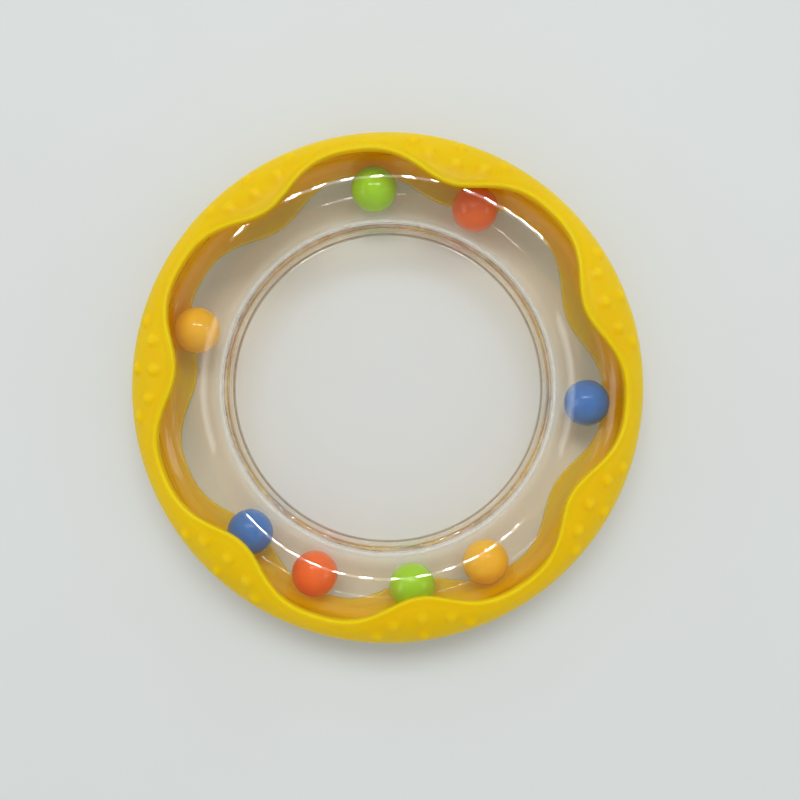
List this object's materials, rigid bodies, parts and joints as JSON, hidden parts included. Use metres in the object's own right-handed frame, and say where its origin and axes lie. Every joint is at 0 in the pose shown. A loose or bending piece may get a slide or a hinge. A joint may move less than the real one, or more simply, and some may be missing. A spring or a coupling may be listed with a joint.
{
  "type": "teething ring",
  "caption": "Clear hollow rattle ring with loose coloured balls in its channel and a soft wavy teething band round the outside.",
  "frame": {"origin": "centre of the hand hole, in the weld plane half way up the ring", "axes": "+Z along the ring's axis, up as it lies flat; +X and +Y across the ring, with the balls placed as they lie at rest"},
  "size_m": [0.108, 0.108, 0.02],
  "materials": {
    "clear_plastic": "clear, glossy",
    "soft_band": "soft satin thermoplastic rubber",
    "orange_ball": "glossy",
    "green_ball": "glossy",
    "amber_ball": "glossy",
    "blue_ball": "glossy"
  },
  "bodies": {
    "ring": {"upper_shell": "clear_plastic", "lower_shell": "clear_plastic", "teething_band": "soft_band"},
    "orange_ball_a": {"orange_ball_a": "orange_ball"},
    "green_ball_a": {"green_ball_a": "green_ball"},
    "amber_ball_a": {"amber_ball_a": "amber_ball"},
    "blue_ball_a": {"blue_ball_a": "blue_ball"},
    "orange_ball_b": {"orange_ball_b": "orange_ball"},
    "green_ball_b": {"green_ball_b": "green_ball"},
    "amber_ball_b": {"amber_ball_b": "amber_ball"},
    "blue_ball_b": {"blue_ball_b": "blue_ball"}
  },
  "joints": [
    {"name": "orange_ball_a_roll", "type": "hinge", "parent": "ring", "child": "orange_ball_a", "pos_m": [0, 0, -0.00215], "axis": [0, 0, 1], "range_deg": [-54.8, 16.3]},
    {"name": "green_ball_a_roll", "type": "hinge", "parent": "ring", "child": "green_ball_a", "pos_m": [0, 0, -0.00215], "axis": [0, 0, 1], "range_deg": [-16.3, 55.6]},
    {"name": "amber_ball_a_roll", "type": "hinge", "parent": "ring", "child": "amber_ball_a", "pos_m": [0, 0, -0.00215], "axis": [0, 0, 1], "range_deg": [-55.6, 49.5]},
    {"name": "blue_ball_a_roll", "type": "hinge", "parent": "ring", "child": "blue_ball_a", "pos_m": [0, 0, -0.00215], "axis": [0, 0, 1], "range_deg": [-49.5, 8.6]},
    {"name": "orange_ball_b_roll", "type": "hinge", "parent": "ring", "child": "orange_ball_b", "pos_m": [0, 0, -0.00215], "axis": [0, 0, 1], "range_deg": [-8.6, 14.9]},
    {"name": "green_ball_b_roll", "type": "hinge", "parent": "ring", "child": "green_ball_b", "pos_m": [0, 0, -0.00215], "axis": [0, 0, 1], "range_deg": [-14.9, 8.7]},
    {"name": "amber_ball_b_roll", "type": "hinge", "parent": "ring", "child": "amber_ball_b", "pos_m": [0, 0, -0.00215], "axis": [0, 0, 1], "range_deg": [-8.7, 42.8]},
    {"name": "blue_ball_b_roll", "type": "hinge", "parent": "ring", "child": "blue_ball_b", "pos_m": [0, 0, -0.00215], "axis": [0, 0, 1], "range_deg": [-42.8, 54.8]}
  ]
}
